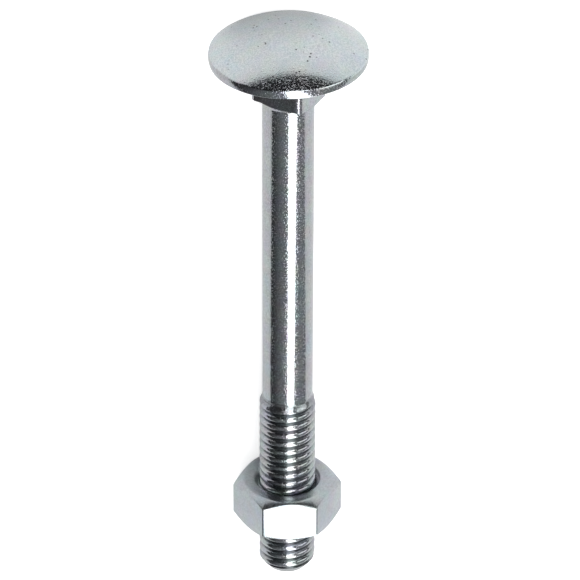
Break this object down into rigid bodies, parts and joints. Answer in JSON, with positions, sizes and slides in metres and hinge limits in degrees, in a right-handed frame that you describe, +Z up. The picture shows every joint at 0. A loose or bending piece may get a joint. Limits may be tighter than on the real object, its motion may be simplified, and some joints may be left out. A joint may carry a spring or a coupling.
{
  "type": "carriage bolt",
  "caption": "Zinc-plated steel carriage bolt with a low domed head, a square neck, a plain shank and a threaded end that carries a hex nut, lying on its side.",
  "frame": {"origin": "centre of the footprint, on the surface that the bolt lies on", "axes": "+X along the bolt from its head to its tip, as near as the lying bolt's 3.2 degree slope allows; +Z up"},
  "size_m": [0.0638, 0.0158, 0.0159],
  "materials": {
    "bolt_zinc": "bright zinc plating with a thin clear blue passivation, satin on the head and smooth on the shank",
    "nut_zinc": "bright zinc plating with a thin clear blue passivation, fine satin"
  },
  "bodies": {
    "bolt": {"bolt": "bolt_zinc"},
    "nut": {"nut": "nut_zinc"}
  },
  "joints": [
    {"name": "nut_travel", "type": "slide", "parent": "bolt", "child": "nut", "axis": [0.9984, 0, -0.0557], "range_m": [-0.007, 0.005]}
  ]
}
